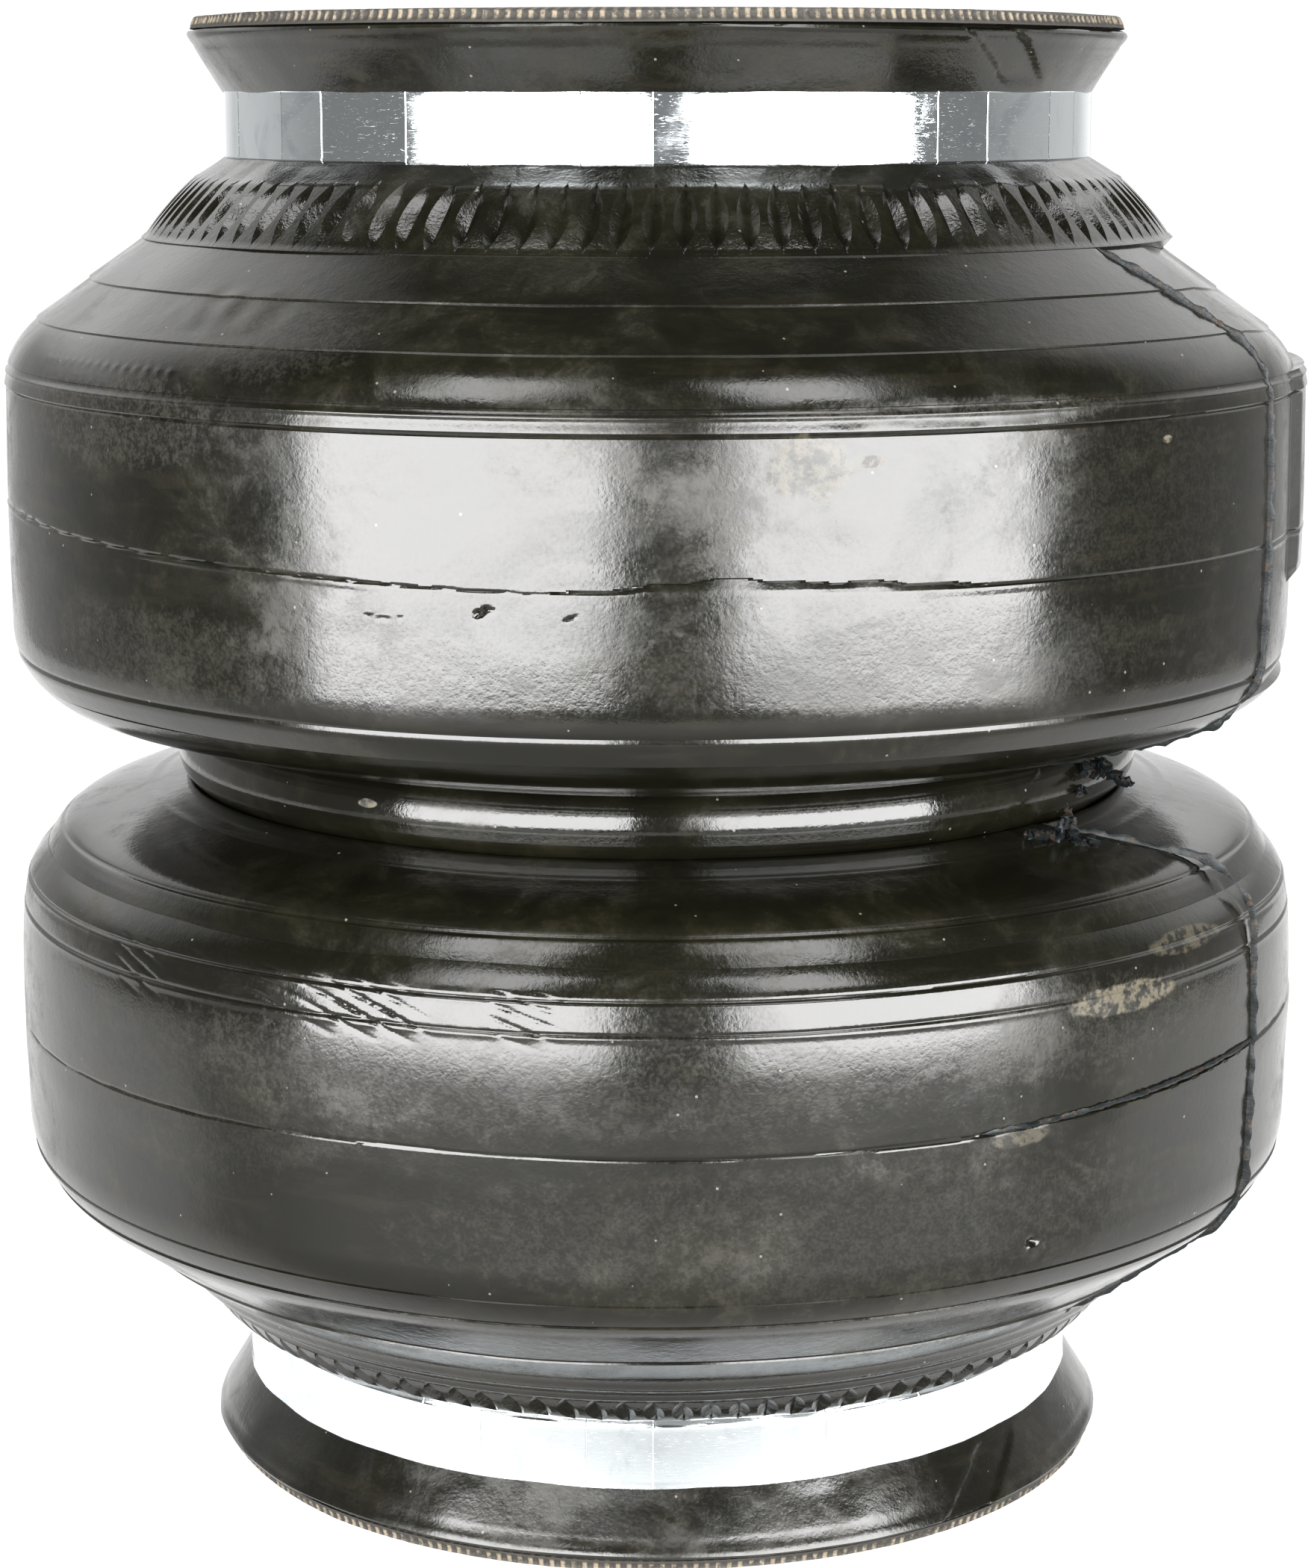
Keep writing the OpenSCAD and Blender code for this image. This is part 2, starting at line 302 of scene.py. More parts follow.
def crown_relief(az, r, z, upper):
    """How far the crown's skin stands out from the plain outline, at az and height z."""
    out = overlap_rings(z, UPPER_RINGS if upper else LOWER_RINGS)
    out = out + 0.07 * ripple(az, z, 10, 3 + upper) + 0.02 * ripple(az, z, 4, 5 + upper)
    out = out - 0.22 * beyond_seam(az, r)
    wander = 0.06 * ripple(az, 0 * z, 6, 11 + upper)
    if upper:
        out = out + 0.24 * ridge(z - 48.5, 0.3) - 0.26 * ridge(z - 46.6 - wander, 0.16)
        part = 29.8 + 0.045 * np.clip(-az - 10, 0, 60) + wander
        torn = np.clip((az + 8.5) / 35.5, 0, 1)
        top = part + 1.35 * np.sin(math.pi * torn) ** 0.8 * (1 + 0.22 * ripple(az, 0 * z, 1.3, 21))
        inside = (z > part) & (z < top) & (torn > 0) & (torn < 1)
        out = out - np.where(inside, 0.42 * (z - part) / np.maximum(top - part, 0.2) + 0.06, 0)
        out = out - 0.2 * ridge(z - part, 0.14) * (az < -8) - 0.12 * ridge(z - part, 0.12) * (az > -8)
        out = out + 0.1 * ridge(z - part + 0.4, 0.25)
        out = out - 0.15 * ridge(z - 14.0, 0.25) + 0.12 * (z < 14) * ridge(z - 13.4, 0.5)
        for at, size in (((-22.2, 26.9), 0.5), ((-21.0, 26.6), 0.9), ((-19.6, 26.8), 0.3)):
            out = out + gash(az, z, at, size, 0.16, 0.16)
        out = out + gash(az, z, (-13.2, 27.8), 0.9, 0.5, 0.7, 0.5)
        out = out + gash(az, z, (-12.4, 27.3), 0.5, 0.4, -0.5)
        out = out + gash(az, z, (-6.4, 27.3), 0.9, 0.2, 0.35, 0.35)
        where = np.clip(1 - ((az + 42) / 9) ** 2, 0, 1) * np.clip(1 - ((z - 58) / 2.6) ** 2, 0, 1)
        out = out + 0.2 * where * ripple(az, z, 1.1, 71, 50)
        dots = np.clip(np.cos(np.radians(az) * CROWN_R * 3.0), 0, 1) * (az > -63) * (az < -41)
        out = out + 0.1 * dots * ridge(z - 51.7, 0.3)
        where = np.clip(1 - ((az - 24) / 15) ** 2, 0, 1) * np.clip(1 - ((z - 48.6) / 1.6) ** 2, 0, 1)
        out = out + 0.1 * where * ripple(az, z, 0.9, 73, 50)
        pad = (np.abs(z - 37.0) < 12.5) & (az > 72) & (az < 108)
        fade = np.clip((az - 63) / 14, 0, 1) * np.clip((150 - az) / 20, 0, 1)
        out = out - np.where(pad, 0.1, 1.45) * fade
    else:
        part = 32.5 - 0.05 * np.clip(az - 25, 0, 60) + 0.02 * np.clip(-az - 20, 0, 60) + wander
        crack = np.clip((az - 2) / 30, 0, 1) * (az < 61)
        out = out - (0.1 + 0.25 * crack) * ridge(z - part, 0.16)
        out = out + (0.08 + 0.3 * crack * (0.6 + 0.6 * ripple(az, z, 1.2, 31))) * ridge(z - part - 0.5, 0.25)
        out = out + 0.2 * np.clip(z - part, 0, 1) * (z < part + 6) * np.clip(1 - (z - part) / 6, 0, 1)
        out = out + gash(az, z, (31.3, 46.0), 0.8, 0.5, 0.6) + gash(az, z, (32.6, 46.8), 0.5, 0.3, 0.4)
        out = out - soft_root(z)
        # slanting cracks in the skin at the left
        where = np.clip(1 - ((az + 30) / 24) ** 2, 0, 1) * np.clip(1 - ((z - 17.3) / 3.4) ** 2, 0, 1)
        slant = 0.3 * np.radians(az) * CROWN_R - z
        wave = np.sin(3.6 * slant + 2.6 * ripple(az, z, 5, 81))
        broken = np.clip(0.35 + 0.9 * ripple(az, z, 2.6, 83), 0, 1)
        out = out - 0.26 * where**0.6 * broken * np.clip((wave - 0.5) / 0.5, 0, 1)
        for h in (14.9, 18.6):
            out = out - 0.14 * ridge(z - h - wander, 0.18) + 0.08 * ridge(z - h - 0.5, 0.3)
    return out


def crown_line():
    """The crown's outer outline, from its parting with the flank to that with the neck."""
    return np.vstack([fillet(1, 0, MOULD_AT, 1), fillet(2), fillet(3), fillet(4, 0, 0, MOULD_AT)])


def crown_outer(upper):
    """The crown's outer outline, with close rows at the lines and marks of its relief."""
    base = crown_line()
    near = [-0.6, -0.3, -0.12, -0.03, 0.03, 0.12, 0.3, 0.6]
    if upper:
        rings = UPPER_RINGS
        fine = np.concatenate([
            np.arange(26, 29, 0.22), np.arange(29.2, 32.6, 0.19),
            np.arange(47.2, 52.6, 0.4), np.arange(55.6, 60.4, 0.45),
        ])
        lines = [48.5, 14.0]
    else:
        rings = LOWER_RINGS
        fine = np.concatenate([np.arange(13.6, 21, 0.25), np.arange(30.2, 33.8, 0.16)])
        lines = [14.9, 18.6, 46.0]
    marks = [z + d for z in rings[:-1] + lines for d in near]
    return resample(base, 1.2, length_at(base, np.concatenate([marks, fine])))


def crown(upper):
    outer = crown_outer(upper)
    inner = inner_path(WALL, [(1, MOULD_AT, 1), (2, 0, 1), (3, 0, 1), (4, 0, MOULD_AT)])
    if upper:
        az = columns((-70, 70, 0.5), (-60, -33, 0.36), (-23, -4, 0.16), (-9, 38, 0.36))
    else:
        az = columns((-70, 70, 0.45), (-55, -5, 0.3), (25, 62, 0.28))
    n = outward(outer)
    push = crown_relief(az, outer[None, :, 0], outer[None, :, 1], upper)
    r = np.minimum(outer[None, :, 0] + n[None, :, 0] * push, CROWN_R - 0.03)
    z = outer[None, :, 1] + n[None, :, 1] * push
    return skin(f"{half_name(upper)}_crown", az, r, z, inner, upper)


def skin(name, az, r, z, inner, upper, sharp=35):
    """Closes outer columns of r and z with the same inner outline all round."""
    shape = (len(az), len(inner))
    r = np.hstack([r, np.broadcast_to(inner[::-1, 0], shape)])
    z = np.hstack([z, np.broadcast_to(inner[::-1, 1], shape)])
    return revolve(name, r, z, np.radians(az - 90), upper, sharp)


def half_name(upper):
    return "upper" if upper else "lower"


def inner_path(t, parts, spacing=2.5):
    return resample(np.vstack([fillet(i, t, a, b, 6) for i, a, b in parts]), spacing)


def lap_arc(t, end=135.0, step=4.0):
    """The flank's inner end, lapped over the girdle, from its far end to the lip."""
    depth = LAP_R * math.sin(LIP_ANGLE - FLANK_RISE)
    start = 90 + math.degrees(FLANK_RISE) - math.degrees(math.acos((depth + t) / (LAP_R + t)))
    a = np.radians(np.linspace(end, start, max(2, math.ceil((end - start) / step)) + 1))
    return np.column_stack([GIRDLE_R + (LAP_R + t) * np.cos(a), (LAP_R + t) * np.sin(a)])


def flank(upper):
    base = np.vstack([lap_arc(0), fillet(1, 0, 0, MOULD_AT)])
    lines = [4.3, 5.0, 6.4] if upper else [4.6, 8.3]
    marks = [z + d for z in lines for d in (-0.35, -0.2, -0.08, 0.08, 0.2, 0.35)]
    outer = resample(base, 0.7, length_at(base, marks))
    inner = resample(np.vstack([lap_arc(WALL), fillet(1, WALL, 0, MOULD_AT, 6)]), 2.5)
    az = columns((-75, 75, 0.4))
    r0, z0 = outer[None, :, 0], outer[None, :, 1]
    push = 0.04 * ripple(az, z0, 7, 41 + upper) - 0.2 * beyond_seam(az, r0)
    for h in lines:
        push = push - 0.16 * ridge(z0 - h, 0.14) + 0.08 * ridge(z0 - h - 0.3, 0.2)
    if not upper:
        push = push - soft_root(base[-1, 1]) * np.clip((r0 - 70) / (base[-1, 0] - 70), 0, 1) ** 2
    push = push * (r0 > LIP[0] - 0.5)
    n = outward(outer)
    return skin(f"{half_name(upper)}_flank", az, r0 + n[None, :, 0] * push,
                z0 + n[None, :, 1] * push, inner, upper)


FLUTES = 110
FLUTE_HALF = 0.37       # half width of a flute at its middle, as a share of the pitch
FLUTE_DEEP = 0.95
FLUTE_LEAN = 0.6        # how far round a flute leans over its height, degrees
FLUTE_AT = 2.9          # where one flute lies, degrees right of the front


def fluted_neck(upper):
    """The neck from the flutes' foot to under the band, with its V-cut flutes."""
    base = np.vstack([fillet(4, 0, MOULD_AT, 1), fillet(5), fillet(6), [[NECK_R, BAND_IN + 3]]])
    outer = resample(base, 0.4)
    inner = resample(
        np.vstack([fillet(4, WALL, MOULD_AT, 1, 6), fillet(5, WALL), fillet(6, WALL),
                   [[NECK_R - WALL, BAND_IN + 3]]]), 2.5)
    if upper:
        lo, hi = FLUTE_FOOT[1] + 0.5, FLUTE_TOP[1] + 0.5
    else:
        lo, hi = FLUTE_FOOT[1] + 4.2, FLUTE_TOP[1] + 0.8
    q = np.clip((outer[:, 1] - lo) / (hi - lo) * 2 - 1, -1, 1)
    share = 1 - q**2
    w = np.maximum(FLUTE_HALF * share, 0.012)
    u = np.stack([-0.5 + 0 * w, -(w + 0.5) / 2, -w, -w / 2, 0.1 * w, 0.55 * w, w, (w + 0.5) / 2])
    valley = 1 - q**4
    cut = np.stack([0 * w, 0 * w, 0 * w, 0.5 * valley, valley, 0.5 * valley, 0 * w, 0 * w])
    deep = FLUTE_DEEP * (0.85 + 0.3 * ragged(FLUTES, 51 + upper, 2))[:, None, None]
    pitch = 2 * math.pi / FLUTES
    lean = FLUTE_LEAN * np.clip((outer[:, 1] - (lo + hi) / 2) / (hi - lo), -0.5, 0.5)
    az = np.degrees((np.arange(FLUTES)[:, None, None] + u[None]) * pitch) + FLUTE_AT + lean
    r0, z0 = outer[None, None, :, 0], outer[None, None, :, 1]
    push = 0.10 * ripple(az, z0, 1.5, 53 + upper, 60) * (z0 > hi - 0.6) * (z0 < BAND_IN)
    push = push - deep * cut[None] * np.where(upper, 1.0, 0.7)
    push = push + 0.16 * ridge(z0 - lo + 0.35, 0.22) + 0.28 * share
    if not upper:
        push = push + 0.35 * ridge(z0 - 66.2, 0.7) - 0.15 * ridge(z0 - 67.6, 0.3)
    n = outward(outer)
    r = (r0 + n[None, None, :, 0] * push).reshape(FLUTES * 8, -1)
    z = (z0 + n[None, None, :, 1] * push).reshape(FLUTES * 8, -1)
    az = az.reshape(FLUTES * 8, -1)
    inner_az = np.linspace(0, 360, FLUTES * 8, endpoint=False)[:, None] - 180 / FLUTES + FLUTE_AT
    inner_az = np.broadcast_to(inner_az, (FLUTES * 8, len(inner)))
    shape = inner_az.shape
    r = np.hstack([r, np.broadcast_to(inner[::-1, 0], shape)])
    z = np.hstack([z, np.broadcast_to(inner[::-1, 1], shape)])
    az = np.hstack([az, inner_az])
    return revolve(f"{half_name(upper)}_flutes", r, z, np.radians(az - 90), upper, 25)


def rim(upper):
    """The flared cover beyond the band, with its trimmed edge."""
    d = unit(RIM_END - FLARE)
    n_in = left(d)
    outer = np.vstack([
        [[NECK_R, BAND_IN + 3.05]],
        fillet(7),
        [RIM_END - d * 1.1, RIM_END - d * 0.8, RIM_END - d * 0.5, RIM_END - d * 0.2 + n_in * 0.06,
         RIM_END + n_in * 0.35, RIM_END + n_in * (COVER_T - 0.3)],
    ])
    inner = resample(np.vstack([[[NECK_R - COVER_T, BAND_IN + 3.05]], fillet(7, COVER_T),
                                [RIM_END + n_in * COVER_T - d * 0.6]]), 2.0)
    steps = np.linalg.norm(np.diff(outer, axis=0), axis=1)
    s = np.concatenate([[0], np.cumsum(steps)])
    outer = resample(outer, 0.6, s[-7:-1])
    az = columns((-100, 100, 0.45))
    r0, z0 = outer[None, :, 0], outer[None, :, 1]
    free = np.clip((z0 - BAND_OUT) / 1.5, 0, 1) * (r0 > NECK_R + 0.3)
    push = free * (0.06 * ripple(az, z0, 6, 61 + upper) + 0.05 * ripple(az, z0, 2.5, 63 + upper))
    splice = az - (56 - 1.6 * (z0 - BAND_OUT))
    push = push + free * (0.3 / (1 + np.exp(np.clip(-splice * 8, -40, 40))) - 0.3) * (splice > -8)
    push = push - free * 0.16 * ridge(z0 - COVER_END + 1.3, 0.16)
    n = outward(outer)
    r = r0 + n[None, :, 0] * push
    z = z0 + n[None, :, 1] * push
    z = z + 0.16 * ripple(az, 0 * z0, 14, 65 + upper) * np.clip((z0 - COVER_END + 2.5) / 2, 0, 1)
    return skin(f"{half_name(upper)}_rim", az, r, np.minimum(z, COVER_END + 0.25), inner, upper)


CORDS = 272


def rim_plies(upper):
    """The end of the cord plies beyond the trimmed cover, with a row of cord ends."""
    d = unit(RIM_END - FLARE)
    n_in = left(d)
    face_lo = RIM_END + n_in * 0.75 + d * 0.15
    face_hi = np.array([face_lo[0] - 0.55, HALF - 0.12])
    levels = (0.1, 0.2, 0.3, 0.4, 0.5, 0.6, 0.7, 0.8, 0.9)
    outer = np.vstack([
        [RIM_END + n_in * 2.2 - d * 1.5, RIM_END + n_in * 2.0 + d * 0.02, face_lo],
        [face_lo + (face_hi - face_lo) * t for t in levels],
        [face_hi, [face_hi[0] - 0.3, HALF], [RIM_END[0] - 4.0, HALF]],
    ])
    inner = np.vstack([[RIM_END + n_in * (WALL - 0.1) - d * 1.5], [[RIM_END[0] - 4.1, HALF - 0.15]]])
    loop = np.vstack([outer, inner[::-1]])
    per = 6
    count = CORDS * per
    phase = (np.arange(count) % per) / per
    bead = np.clip(np.cos((phase - 0.5) * 2 * math.pi), 0, 1)[:, None] ** 0.6
    level = np.zeros(len(loop))
    groove = np.zeros(len(loop))
    t = (np.array(levels) - 0.58) / 0.36
    level[3:12] = np.clip(1 - t**2, 0, 1) ** 0.5
    groove[3:12] = 0.3 * np.clip(1 - t**4, 0, 1)
    size = np.random.default_rng(71 + upper).uniform(0.45, 1.0, CORDS).repeat(per)[:, None]
    az = (np.arange(count) / count * 360)[:, None]
    r = loop[None, :, 0] + 0.5 * bead * level[None] * size - groove[None]
    top = np.clip((loop[None, :, 1] - COVER_END) / (HALF - COVER_END), 0, 1)
    cut = 0.35 * np.clip(0.5 + ripple(az, 0 * r, 16, 73 + upper), 0, 1.4)
    cut = cut + 0.12 * ragged(count, 75, 3)[:, None]
    z = loop[None, :, 1] - cut * top * (loop[None, :, 0] > RIM_END[0] - 3.5)
    return revolve(f"{half_name(upper)}_rim_plies", r, z, np.radians(az - 90), upper, 40)


DIES = 16
CREASE = 8.5        # angle between the two creases of a die gap, degrees
FLATNESS = 0.35
FIRST_PAD = -45.5    # where one die pad starts, degrees right of the front


def band(upper):
    """A crimped band: die pads and the gaps between them, with thin raised edges."""
    lo, hi, r = BAND_IN, BAND_OUT, BAND_R
    flat = r - 0.1
    section = [(NECK_R + 0.02, lo + 0.05), (r - 0.35, lo), (r - 0.12, lo + 0.06), (r - 0.02, lo + 0.25),
               (r - 0.05, lo + 0.45), (flat, lo + 0.7)]
    section += [(flat, z) for z in np.linspace(lo + 1.2, hi - 1.2, 9)]
    section += [(flat, hi - 0.7), (r - 0.05, hi - 0.45), (r - 0.02, hi - 0.25), (r - 0.12, hi - 0.06),
                (r - 0.35, hi), (NECK_R + 0.02, hi - 0.05)]
    section = np.array(section)
    period = 360 / DIES
    pad = period - CREASE
    shares = [(0, pad, t) for t in (0, 0.006, 0.014, 0.15, 0.3, 0.45, 0.6, 0.75, 0.9, 0.986, 0.994)]
    shares += [(pad, CREASE, t) for t in (0, 0.01, 0.024, 0.2, 0.4, 0.6, 0.8, 0.976, 0.99)]
    phase = np.array([a + w * t for a, w, t in shares])
    marks = (np.arange(DIES)[:, None] * period + phase[None]).ravel()
    phase = np.tile(phase, DIES)
    in_pad = phase < pad
    centre = np.where(in_pad, pad / 2, pad + CREASE / 2)
    half = np.where(in_pad, pad / 2, CREASE / 2)
    chord = np.cos(np.radians(half)) / np.cos(np.radians(phase - centre))
    scale = 1 - FLATNESS * (1 - chord) - 0.0003 * in_pad
    edge = np.minimum(np.abs(phase), np.minimum(np.abs(phase - pad), np.abs(phase - period)))
    scale = scale - 0.0008 * (edge < 0.02)
    az = (FIRST_PAD + marks)[:, None]
    free = section[None, :, 0] > NECK_R + 0.1
    wave = 0.02 * ripple(az, section[None, :, 1], 5, 81 + upper)
    pressed = section[None, :, 0] * scale[:, None] + np.minimum(wave, 0.02) - 0.01
    r = np.where(free, pressed, section[None, :, 0])
    return revolve(f"{half_name(upper)}_crimp_band", r, section[None, :, 1], np.radians(az - 90), upper, 20)


def waist_ring():
    a = np.linspace(0, 2 * math.pi, 73)[:-1]
    az = columns((-75, 75, 0.5))
    z = SECTION_R * np.sin(a)[None]
    push = 0.02 * ripple(az, z, 6, 91) - 0.03
    push = push - 0.1 * ridge(z + 1.3, 0.2) * (np.cos(a)[None] > 0)
    r = GIRDLE_R + (SECTION_R + push) * np.cos(a)[None]
    z = (SECTION_R + push) * np.sin(a)[None]
    return revolve("waist_ring", r, z, np.radians(az - 90), True)


# ---------------------------------------------------------------- flash, wads and fittings
def tube(name, centre, across, rise, half_w, height):
    """A closed ridge along points: half_w wide each side, height high, its foot sunk in."""
    count = len(centre)
    shape = [(-1, -0.25), (-0.7, 0.35), (-0.3, 0.85), (0.05, 1.0), (0.4, 0.75), (0.8, 0.3),
             (1, -0.25), (0, -0.5)]
    verts = []
    for x, y in shape:
        verts.append(centre + across * (x * half_w)[:, None] + rise * (y * height)[:, None])
    verts = np.stack(verts, axis=1)
    k = len(shape)
    faces = []
    for i in range(count - 1):
        for j in range(k):
            a, b = i * k + j, i * k + (j + 1) % k
            faces.append((a, b, b + k, a + k))
    faces.append(tuple(range(k))[::-1])
    faces.append(tuple((count - 1) * k + j for j in range(k)))
    me = bpy.data.meshes.new(name)
    me.from_pydata((verts.reshape(-1, 3) * MM).tolist(), [], faces)
    me.update()
    obj = bpy.data.objects.new(name, me)
    bpy.context.scene.collection.objects.link(obj)
    make_outward(obj)
    me.shade_smooth()
    me.set_sharp_from_angle(angle=math.radians(50))
    return obj


def make_outward(obj):
    bm = bmesh.new()
    bm.from_mesh(obj.data)
    bmesh.ops.recalc_face_normals(bm, faces=bm.faces)
    bm.to_mesh(obj.data)
    bm.free()


def cylinder_points(az, r, z, upper):
    """Points in the row frame, in mm, of angles right of the front, radii and heights."""
    a = np.radians(az)
    side = 1 if upper else -1
    return np.column_stack([r * np.sin(a), -r * np.cos(a), HALF + side * z])


def fin(name, path, az, upper, half_w, height, seed, rag=0.6):
    """Ragged mould flash along an outline's points, at the angles az."""
    rng = np.random.default_rng(seed)
    n = outward(path)
    count = len(path)
    wob = ragged(count, seed, 2) - 0.5
    az = az + np.degrees(0.5 * wob / path[:, 0])
    centre = cylinder_points(az, path[:, 0], path[:, 1], upper)
    rise = cylinder_points(az, n[:, 0], n[:, 1], upper) - [0, 0, HALF]
    along = np.gradient(centre, axis=0)
    across = np.cross(along, rise)
    across /= np.linalg.norm(across, axis=1)[:, None]
    ends = np.clip(np.minimum(np.arange(count), np.arange(count)[::-1]) / 3, 0.05, 1)
    tear = (1 - rag) + rag * ragged(count, seed + 1, 1) * 1.6
    hw = half_w * ends * (0.7 + 0.6 * rng.uniform(0, 1, count))
    return tube(name, centre, across, rise, hw, height * ends * tear)


def strand(name, points, radius, seed, crumple=0.0):
    """A thin curl of rubber through points in the row frame."""
    rng = np.random.default_rng(seed)
    points = np.asarray(points, float)
    t = np.linspace(0, 1, len(points))
    count = max(8, 6 * len(points))
    u = np.linspace(0, 1, count)
    line = np.column_stack([np.interp(u, t, points[:, k]) for k in range(3)])
    for _ in range(3):
        line[1:-1] = (line[:-2] + 2 * line[1:-1] + line[2:]) / 4
    line += rng.normal(0, crumple, line.shape) * (u * (1 - u) * 4)[:, None]
    along = np.gradient(line, axis=0)
    along /= np.linalg.norm(along, axis=1)[:, None]
    ref = np.array([0.3, -1, 0.2])
    across = np.cross(along, ref)
    across /= np.linalg.norm(across, axis=1)[:, None]
    rise = np.cross(across, along)
    taper = np.clip(np.minimum(u, 1 - u) * 6, 0.15, 1) * rng.uniform(0.75, 1.2, count)
    return tube(name, line, across, rise, radius * taper, 1.3 * radius * taper)


def threaded_insert(name, upper, x, outer_r, bore_r, length, bore_len, pitch, through):
    """A brass insert with its thread cut in the bore; the thread is a helix."""
    turns = 48
    side = 1 if upper else -1
    depth = length if through else bore_len
    steps = int(depth / pitch * 6)
    zs = -np.linspace(0, depth, steps + 1)
    angle = np.linspace(0, 2 * math.pi, turns, False)[:, None]
    cut = 0.5 + 0.5 * np.cos(2 * math.pi * (zs[None] / pitch) + angle)
    lead = np.clip(-zs / pitch, 0, 1)
    bore = bore_r - 0.4 + 0.75 * cut * pitch * 0.45 + 0.55 * (1 - lead)
    bore = np.minimum(bore, bore_r + 0.5)
    fixed = [(outer_r - 0.35, 0), (outer_r, -0.35), (outer_r, -length + 0.5), (outer_r - 0.5, -length)]
    if through:
        tail = [(bore_r + 0.6, -length)]
    else:
        tail = [(0.02, -length), (0.02, -bore_len - 1.2), (bore_r - 0.6, -bore_len - 0.02)]
    fixed = np.array(fixed + tail)
    r = np.hstack([np.broadcast_to(fixed[:, 0], (turns, len(fixed))), bore[:, ::-1],
                   np.full((turns, 1), bore_r + 0.5)])
    z = np.hstack([np.broadcast_to(fixed[:, 1], (turns, len(fixed))),
                   np.broadcast_to(zs[::-1], (turns, steps + 1)), np.zeros((turns, 1))])
    verts = np.stack([x + r * np.cos(angle), r * np.sin(angle), HALF + side * (HALF + z)], axis=-1)
    obj = grid_object(name, verts)
    make_outward(obj)
    obj.data.set_sharp_from_angle(angle=math.radians(30))
    return obj


# ---------------------------------------------------------------- materials
class Shade:
    """A procedural material: each call adds a node and hands back its output."""

    def __init__(self, name, roughness=0.4, metallic=0.0):
        self.material = bpy.data.materials.new(name)
        self.material.use_nodes = True
        self.nodes = self.material.node_tree.nodes
        self.links = self.material.node_tree.links
        self.shader = self.nodes["Principled BSDF"]
        self.shader.inputs["Metallic"].default_value = metallic
        self.shader.inputs["Roughness"].default_value = roughness
        self.place = self.nodes.new("ShaderNodeTexCoord").outputs["Object"]

    def set(self, node, key, value):
        if isinstance(value, bpy.types.NodeSocket):
            self.links.new(value, node.inputs[key])
        else:
            node.inputs[key].default_value = value

    def add(self, kind, out=0, inputs=None, **attributes):
        node = self.nodes.new("ShaderNode" + kind)
        for key, value in attributes.items():
            setattr(node, key, value)
        for key, value in (inputs or {}).items():
            self.set(node, key, value)
        return node.outputs[out]

    def math(self, operation, a, b=0.0, c=0.0):
        return self.add("Math", 0, {0: a, 1: b, 2: c}, operation=operation)

    def squeeze(self, x, y, z, shift=(0, 0, 0)):
        return self.add("Mapping", 0, {"Vector": self.place, "Scale": (x, y, z), "Location": shift})

    def noise(self, size, detail=4, rough=0.55, flat=(1, 1, 1), shift=(0, 0, 0), warp=0.0):
        """Noise of about this size in mm; flat squeezes it along x, y or z."""
        vector = self.squeeze(*flat, shift)
        return self.add("TexNoise", 0, {"Vector": vector, "Scale": 1 / (size * MM), "Detail": detail,
                                        "Roughness": rough, "Distortion": warp})

    def span(self, value, lo, hi, to_lo=0.0, to_hi=1.0, smooth=True):
        return self.add("MapRange", 0, {"Value": value, "From Min": lo, "From Max": hi, "To Min": to_lo,
                                        "To Max": to_hi},
                        interpolation_type="SMOOTHSTEP" if smooth else "LINEAR")

    def mix(self, share, a, b):
        node = self.nodes.new("ShaderNodeMix")
        node.data_type = "RGBA"
        self.set(node, 0, share)
        for key, value in ((6, a), (7, b)):
            self.set(node, key, value if isinstance(value, bpy.types.NodeSocket) else (*value, 1))
        return node.outputs[2]

    def around(self):
        """Degrees right of the front, and height from the middle in mm."""
        if not hasattr(self, "polar"):
            node = self.nodes.new("ShaderNodeSeparateXYZ")
            self.links.new(self.place, node.inputs[0])
            x, y, z = node.outputs
            angle = self.math("ARCTAN2", x, self.math("MULTIPLY", y, -1.0))
            height = self.math("MULTIPLY_ADD", z, 1 / MM, -HALF)
            self.polar = (self.math("MULTIPLY", angle, 180 / math.pi), height)
        return self.polar

    def patch(self, az, height, half_az, half_height, noise, soft=0.5):
        """A ragged patch about an angle and a height, 0 to 1."""
        a, h = self.around()
        u = self.math("DIVIDE", self.math("SUBTRACT", a, az), half_az)
        v = self.math("DIVIDE", self.math("SUBTRACT", h, height), half_height)
        square = self.math("MULTIPLY_ADD", u, u, self.math("MULTIPLY", v, v))
        grown = self.math("MULTIPLY_ADD", noise, -2.4, self.math("ADD", square, 1.2))
        return self.span(grown, 1.0 + soft, 1.0 - soft)

    def bump(self, *layers):
        """Bumps from (height, size in mm, strength) layers, one over another."""
        normal = None
        for value, size, strength in layers:
            inputs = {"Height": value, "Distance": size * MM, "Strength": strength}
            if normal:
                inputs["Normal"] = normal
            normal = self.add("Bump", 0, inputs)
        self.links.new(normal, self.shader.inputs["Normal"])

    def finish(self, colour, roughness=None):
        plain = not isinstance(colour, bpy.types.NodeSocket)
        self.set(self.shader, "Base Color", (*colour, 1) if plain else colour)
        if roughness is not None:
            self.set(self.shader, "Roughness", roughness)
        return self.material


BLACK = (0.0028, 0.0027, 0.0016)
OLIVE = (0.0060, 0.0056, 0.0028)
BROWN = (0.0140, 0.0122, 0.0070)
DUST = (0.0165, 0.0155, 0.0115)
TAN = (0.075, 0.064, 0.042)


